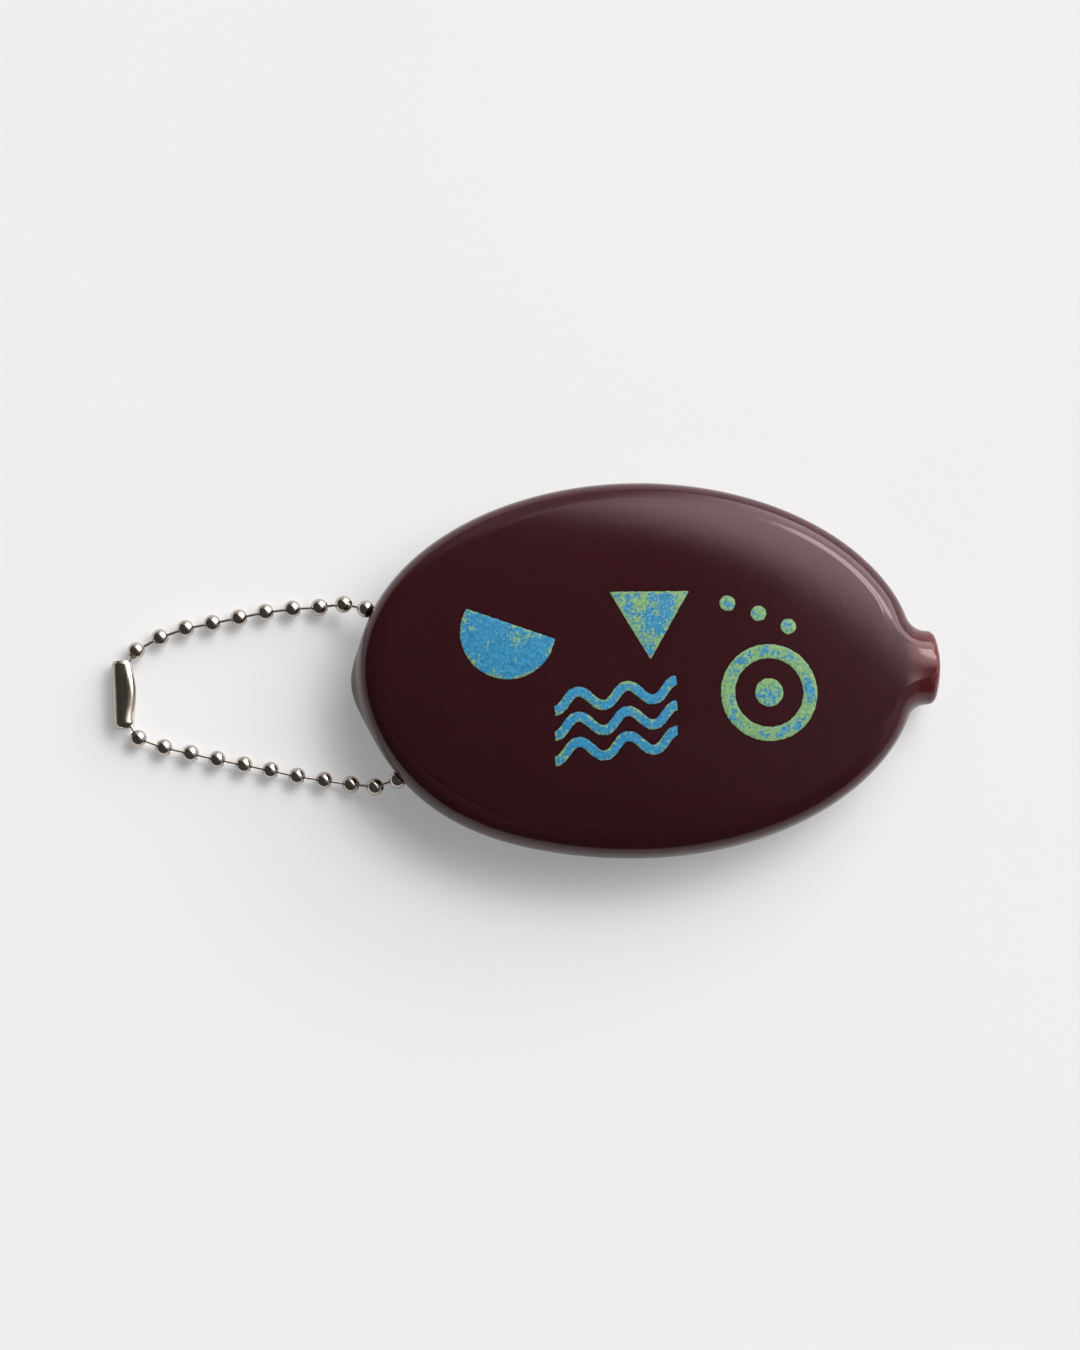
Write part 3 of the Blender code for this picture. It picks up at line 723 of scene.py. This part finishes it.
def ringed_spot(x, y):
    outer = ring_form(x, y, RING_PLACE, RING_RADIUS, RING_WIDTH)
    return np.minimum(outer, disc_form(x, y, RING_PLACE, RING_SPOT))


def waves(x, y):
    lines = []
    for k in range(3):
        at = (WAVES_LEFT, WAVES_TOP - WAVES_GAP * k)
        lines.append(wave_form(x, y, at, WAVE_LENGTH, WAVE_RISE, WAVE_COUNT, WAVE_WIDTH, WAVE_ANGLE))
    return np.min(lines, axis=0)


def dots(x, y):
    return np.min([disc_form(x, y, place, DOT_RADIUS) for place in DOT_PLACES], axis=0)


# Each shape with the middle and half the width of the square that it is cut from, and its green.
patches = [
    inked_patch(half_disc, HALF_DISC_PLACE, 0.0074, -0.08),
    inked_patch(triangle, TRIANGLE_PLACE, 0.0074, -0.01),
    inked_patch(ringed_spot, RING_PLACE, 0.0074, 0.02),
    inked_patch(waves, (WAVES_LEFT, WAVES_TOP - WAVES_GAP), 0.0094, -0.09),
    inked_patch(dots, DOT_PLACES[1], 0.0064, 0.03),
]
face_print = printed("face_print", patches)
face_print.data.materials.append(face_ink())
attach(face_print, "pouch")

# Ball chain
# Hollow balls pressed from strip steel and nickel plated, with a hole at either end, joined by
# dumb-bell links whose heads are held inside the balls. It runs through the pouch from hole to hole,
# and its last balls are held in the clasp.

BALL_DIAMETER = 0.0024
BALL_WALL = 0.00015
BALL_HOLE = 0.00104
BALL_HOLE_EDGE = 0.00002
HEAD_DIAMETER = 0.00108
SHANK_DIAMETER = 0.0004
PIVOT_OFFSET = 0.00056

ring_of_balls = [f"ball_upper_{k:02d}" for k in range(11, 0, -1)]
ring_of_balls += [f"ball_inner_{k}" for k in range(1, 8)]
ring_of_balls += [f"ball_lower_{k:02d}" for k in range(1, 12)]
ring_of_links = [f"link_upper_{k:02d}" for k in range(11, 0, -1)]
ring_of_links += [f"link_inner_{k}" for k in range(1, 7)]
ring_of_links += [f"link_lower_{k:02d}" for k in range(1, 12)]


def ball_profile():
    """From the rim of one hole over the outside to the other, and back inside."""
    outer, hole = BALL_DIAMETER / 2, BALL_HOLE / 2
    profile = []
    for radius, hole, steps in ((outer, hole + BALL_HOLE_EDGE, 18), (outer - BALL_WALL, hole, 14)):
        edge = math.asin(hole / radius)
        angles = np.linspace(edge, math.pi - edge, steps + 1)
        points = [(radius * math.sin(a), radius * math.cos(a)) for a in angles]
        profile += points if radius == outer else reversed(points)
    return profile


def link_profile(span):
    """A wire with a round head on either end, about the middle of its length."""
    head, shank = HEAD_DIAMETER / 2, SHANK_DIAMETER / 2
    neck = math.asin(shank / head)
    angles = np.linspace(math.pi, neck, 9)
    low = [(head * math.sin(a), head * math.cos(a) - span / 2) for a in angles]
    low[0] = (0, -head - span / 2)
    return low + [(radius, -height) for radius, height in reversed(low)]


def piece_on_points():
    """A tree that puts a chain piece on each point, turned from Z to the point's way."""
    tree = bpy.data.node_groups.new("chain_piece_on_points", "GeometryNodeTree")
    inputs = {"Points": "Geometry", "Chain piece": "Object", "Size": "Float", "Plating": "Material"}
    for name, kind in inputs.items():
        tree.interface.new_socket(name, in_out="INPUT", socket_type=f"NodeSocket{kind}")
    tree.interface.new_socket("Chain", in_out="OUTPUT", socket_type="NodeSocketGeometry")
    given = tree.nodes.new("NodeGroupInput")
    shown = tree.nodes.new("NodeGroupOutput")
    way = node(tree, "GeometryNodeInputNamedAttribute", {"data_type": "FLOAT_VECTOR"}, {"Name": "way"})
    turn = node(tree, "FunctionNodeAlignRotationToVector", {"axis": "Z"}, {"Vector": way})
    chosen = Shade(tree, given.outputs["Chain piece"])
    piece = node(tree, "GeometryNodeObjectInfo", {}, {"Object": chosen}, 4)
    sockets = {
        "Points": Shade(tree, given.outputs["Points"]),
        "Instance": piece,
        "Rotation": turn,
        "Scale": Shade(tree, given.outputs["Size"]),
    }
    placed = node(tree, "GeometryNodeInstanceOnPoints", {}, sockets)
    real = node(tree, "GeometryNodeRealizeInstances", {}, {"Geometry": placed})
    sockets = {"Geometry": real, "Material": Shade(tree, given.outputs["Plating"])}
    coated = node(tree, "GeometryNodeSetMaterial", {}, sockets)
    tree.links.new(coated.socket, shown.inputs["Chain"])
    return tree


def chain_pieces(name, tree, source, spots, ways, material):
    """One plain mesh of the source on these spots."""
    mesh = bpy.data.meshes.new(name)
    mesh.from_pydata([tuple(spot) for spot in spots], [], [])
    stored = mesh.attributes.new("way", "FLOAT_VECTOR", "POINT")
    stored.data.foreach_set("vector", [value for way in ways for value in way])
    made = object_of(name, mesh)
    placer = made.modifiers.new("chain", "NODES")
    placer.node_group = tree
    inputs = [item for item in tree.interface.items_tree if item.in_out == "INPUT"]
    identifiers = {item.name: item.identifier for item in inputs}
    placer[identifiers["Chain piece"]] = source
    placer[identifiers["Size"]] = 1.0
    placer[identifiers["Plating"]] = material
    settle(made)
    smooth(made, 50)
    return made


def nickel_plate():
    made, tree, shader = finish("nickel_plate", Metallic=1.0)
    where = place_on_piece(tree)
    patches = noise(tree, where, 420.0, 4.0)
    scuffs = noise(tree, where, 3600.0, 3.0)
    feed(tree, shader.inputs["Base Color"], patches.blend(srgb(186, 174, 164), srgb(214, 206, 198)))
    feed(tree, shader.inputs["Roughness"], 0.08 + 0.12 * patches + 0.04 * scuffs)
    feed(tree, shader.inputs["Normal"], bump(tree, scuffs, 0.12, 0.00004))
    return made


nickel = nickel_plate()
balls_at = [middle_of(name) for name in ring_of_balls]
link_span = (balls_at[1] - balls_at[0]).length - 2 * PIVOT_OFFSET
fine_ball = object_from("fine_ball", turned(ball_profile(), 36))
fine_link = object_from("fine_link", turned(link_profile(link_span), 16))
chain_tree = piece_on_points()

chain_parts = []
for index, name in enumerate(ring_of_balls):
    before, after = balls_at[max(index - 1, 0)], balls_at[min(index + 1, len(balls_at) - 1)]
    here = balls_at[index]
    ways = [(here - before).normalized() if index else Vector(), (after - here).normalized()]
    chain_parts.append((name, fine_ball, here, sum(ways, Vector()).normalized()))
for name, first, second in zip(ring_of_links, balls_at, balls_at[1:]):
    chain_parts.append((name, fine_link, (first + second) / 2, (second - first).normalized()))

for what, source in (("balls", fine_ball), ("links", fine_link)):
    held = [part for part in chain_parts if "inner" in part[0] and part[1] == source]
    names, _, spots, ways = zip(*held)
    made = chain_pieces(f"chain_{what}_inside", chain_tree, source, spots, ways, nickel)
    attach(made, "pouch")
    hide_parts(*names)
for name, source, spot, way in chain_parts:
    if "inner" not in name:
        made = chain_pieces(f"chain_{name}", chain_tree, source, [spot], [way], nickel)
        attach(made, name)
        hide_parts(name)
bpy.data.objects.remove(fine_ball)
bpy.data.objects.remove(fine_link)

# Clasp
# A sleeve folded from brushed, plated sheet. Its slot takes the chain's end balls and is turned a
# little upward, its ends are turned in to hold them, and the slot's edges are flared where they were
# pressed open.

SLEEVE_LENGTH = 0.0091
SLEEVE_DIAMETER = 0.0031
SLEEVE_SHEET = 0.00025
SLEEVE_EDGE = 0.00005
SLEEVE_LIP = 0.00022
SLEEVE_LIP_LENGTH = 0.0005
SLEEVE_FLARE = 0.0005
SLOT_HALF_ANGLE = 42.0
SLOT_TURN = 6.0
FLARE_ANGLE = 40.0
FLARE_PLACE = 0.0006


def sleeve_skin(around=72, along=60):
    """The sheet's middle line swept from one end to the other, then thickened."""
    shape = bmesh.new()
    rows = []
    first, last = SLOT_HALF_ANGLE, 360.0 - SLOT_HALF_ANGLE
    for height in np.linspace(-SLEEVE_LENGTH / 2, SLEEVE_LENGTH / 2, along + 1):
        to_end = SLEEVE_LENGTH / 2 - abs(height)
        lip = SLEEVE_LIP * (1 - float(smoothstep(0, SLEEVE_LIP_LENGTH, to_end)))
        opened = max(0.0, math.cos(math.pi * (height - FLARE_PLACE) / SLEEVE_LENGTH)) ** 2
        row = []
        for angle in np.linspace(first, last, around + 1):
            from_edge = min(angle - first, last - angle) / FLARE_ANGLE
            reach = SLEEVE_DIAMETER / 2 - lip + SLEEVE_FLARE * max(0.0, 1 - from_edge) * opened
            a = math.radians(angle)
            row.append(shape.verts.new((reach * math.cos(a), reach * math.sin(a), height)))
        rows.append(row)
    for low, high in zip(rows, rows[1:]):
        for i in range(around):
            shape.faces.new((low[i], low[i + 1], high[i + 1], high[i]))
    bmesh.ops.recalc_face_normals(shape, faces=shape.faces)
    made = object_from("folded_clasp", shape)
    sheet = made.modifiers.new("sheet", "SOLIDIFY")
    sheet.thickness, sheet.offset, sheet.use_even_offset = SLEEVE_SHEET, -1.0, True
    soft = made.modifiers.new("soft_edges", "BEVEL")
    soft.width, soft.segments, soft.limit_method = SLEEVE_EDGE, 2, "ANGLE"
    settle(made)
    return made


def sleeve_plate():
    made, tree, shader = finish("sleeve_plate", Metallic=1.0)
    where = place_on_piece(tree)
    stretched = node(tree, "ShaderNodeMapping", {}, {"Vector": where, "Scale": (9.0, 0.6, 9.0)})
    brushed = noise(tree, stretched, 900.0, 4.0, 0.6)
    patches = noise(tree, where, 500.0, 3.0)
    feed(tree, shader.inputs["Base Color"], patches.blend(srgb(176, 164, 150), srgb(204, 195, 184)))
    feed(tree, shader.inputs["Roughness"], 0.13 + 0.16 * brushed)
    feed(tree, shader.inputs["Normal"], bump(tree, brushed, 0.35, 0.00004))
    return made


clasp = sleeve_skin()
upper_end, lower_end = middle_of("ball_upper_11"), middle_of("ball_lower_11")
up = (upper_end - lower_end).normalized()
out = (Vector((1, 0, 0)) - up * up.x).normalized()
turn = Matrix((out, up.cross(out), up)).transposed().to_quaternion()
slot_turn = Matrix.Rotation(math.radians(-SLOT_TURN), 4, "Z")
clasp.data.transform(Matrix.LocRotScale((upper_end + lower_end) / 2, turn, None) @ slot_turn)
smooth(clasp, 40)
clasp.data.materials.clear()
clasp.data.materials.append(sleeve_plate())
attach(clasp, "clasp_sleeve")
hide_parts("clasp_sleeve")

# Table, light and camera
# A smooth white table in a dim room. The light comes from a large window beyond the top right of the
# picture, brighter low down and in one pane, from the pale walls around it, and faintly from a wall at
# the right. The camera looks down, a little from the picture's foot and from its left.

OWN_BRIGHTNESS = 0.31


def white_table():
    """Pale board. A part of its brightness is its own, where it is seen or mirrored."""
    made, tree, shader = finish("white_table", Roughness=0.6)
    where = place_on_piece(tree)
    pale = noise(tree, where, 12.0).blend(srgb(238, 238, 239), srgb(241, 241, 241))
    feed(tree, shader.inputs["Base Color"], pale)
    rays = tree.nodes.new("ShaderNodeLightPath")
    seen = Shade(tree, rays.outputs["Is Camera Ray"]) + Shade(tree, rays.outputs["Is Glossy Ray"])
    seen = seen + Shade(tree, rays.outputs["Is Transmission Ray"])
    own = node(tree, "ShaderNodeEmission", {}, {"Color": pale, "Strength": 1.0})
    lit = Shade(tree, shader.outputs["BSDF"])
    both = node(tree, "ShaderNodeMixShader", {}, {0: OWN_BRIGHTNESS * seen, 1: lit, 2: own})
    tree.links.new(both.socket, tree.nodes["Material Output"].inputs["Surface"])
    return made


shape = bmesh.new()
bmesh.ops.create_grid(shape, x_segments=2, y_segments=2, size=3.0)
table = object_from("white_table", shape)
table.data.materials.append(white_table())

# Soft edges in the room, each from where it starts to where it ends. The sides and heights are
# counted from the window's middle.
WINDOW_AZIMUTH, WINDOW_ELEVATION = 45.0, 36.0
WINDOW_FRONT = (0.05, 0.15)
WINDOW_LEFT, WINDOW_RIGHT = (-0.90, -0.30), (0.50, 0.80)
WINDOW_FOOT, WINDOW_HEAD = (-0.62, -0.50), (0.38, 0.64)
PANE_LEFT, PANE_RIGHT = (-0.28, -0.20), (0.20, 0.28)
PANE_FOOT, PANE_HEAD = (-0.04, 0.04), (0.24, 0.32)
LOW_PART, LOW_PART_GAIN = (-0.45, -0.15), 0.5
WALLS_SIDE, WALLS_HEAD = (-0.1, 0.9), (0.40, 0.70)
RIGHT_WALL_WAY, RIGHT_WALL_EDGE = (0.62, 0.05, 0.78), (0.80, 0.98)
WINDOW_LEVEL, PANE_LEVEL, ROOM_LEVEL = 3.2, 7.5, 0.06
WALLS_LEVEL, RIGHT_WALL_LEVEL = 0.55, 0.18
DAYLIGHT = (1.0, 0.992, 0.985)

room = bpy.data.worlds.new("room")
room.use_nodes = True
bpy.context.scene.world = room
tree = room.node_tree
way = node(tree, "ShaderNodeTexCoord")
a, e = math.radians(WINDOW_AZIMUTH), math.radians(WINDOW_ELEVATION)
window_way = Vector((math.sin(a) * math.cos(e), math.cos(a) * math.cos(e), math.sin(e)))
window_right = Vector((math.cos(a), -math.sin(a), 0))
window_up = window_right.cross(window_way)


def along_way(direction):
    return node(tree, "ShaderNodeVectorMath", {"operation": "DOT_PRODUCT"}, {0: way, 1: direction}, 1)


def within(value, low_edge, high_edge):
    """1 between two soft edges and 0 outside them."""
    return value.between(*low_edge) * (1 - value.between(*high_edge))


ahead = along_way(window_way)
aside, above = along_way(window_right) / ahead, along_way(window_up) / ahead
opening = ahead.between(*WINDOW_FRONT) * within(above, WINDOW_FOOT, WINDOW_HEAD)
opening = opening * (1 + LOW_PART_GAIN * (1 - above.between(*LOW_PART)))
window = opening * within(aside, WINDOW_LEFT, WINDOW_RIGHT)
pane = opening * within(aside, PANE_LEFT, PANE_RIGHT) * within(above, PANE_FOOT, PANE_HEAD)
walls = ahead.between(*WALLS_SIDE) * (1 - above.between(*WALLS_HEAD))
right_wall = along_way(RIGHT_WALL_WAY).between(*RIGHT_WALL_EDGE)
level = ROOM_LEVEL + WALLS_LEVEL * walls + RIGHT_WALL_LEVEL * right_wall
level = level + WINDOW_LEVEL * window + PANE_LEVEL * pane
background = tree.nodes["Background"]
feed(tree, background.inputs["Color"], DAYLIGHT)
feed(tree, background.inputs["Strength"], level)

CAMERA_DISTANCE = 0.60
TILT_DOWN, TILT_LEFT, ROLL = 7.0, 3.0, 1.0
VIEW_WIDTH = 0.1471
PICTURE = (1080, 1350)
POUCH_IN_PICTURE = (638.3, 670.0)
lens = bpy.data.cameras.new("camera")
lens.sensor_fit = "HORIZONTAL"
lens.sensor_width = 36.0
lens.lens = lens.sensor_width * CAMERA_DISTANCE / VIEW_WIDTH
camera = object_of("camera", lens)
away = Vector((-math.tan(math.radians(TILT_LEFT)), -math.tan(math.radians(TILT_DOWN)), 1)).normalized()
level_right = Vector((0, 1, 0)).cross(away).normalized()
right = Matrix.Rotation(-math.radians(ROLL), 3, away) @ level_right
top = away.cross(right)
pixel = VIEW_WIDTH / PICTURE[0]
off_right = (POUCH_IN_PICTURE[0] - PICTURE[0] / 2) * pixel
off_top = (PICTURE[1] / 2 - POUCH_IN_PICTURE[1]) * pixel
aim = pouch_place + Vector((0, 0, WIDEST_HEIGHT)) - off_right * right - off_top * top
facing = Matrix((right, top, away)).transposed().to_4x4()
camera.matrix_world = Matrix.Translation(aim + CAMERA_DISTANCE * away) @ facing
bpy.context.scene.camera = camera
bpy.context.scene.view_settings.view_transform = "Standard"
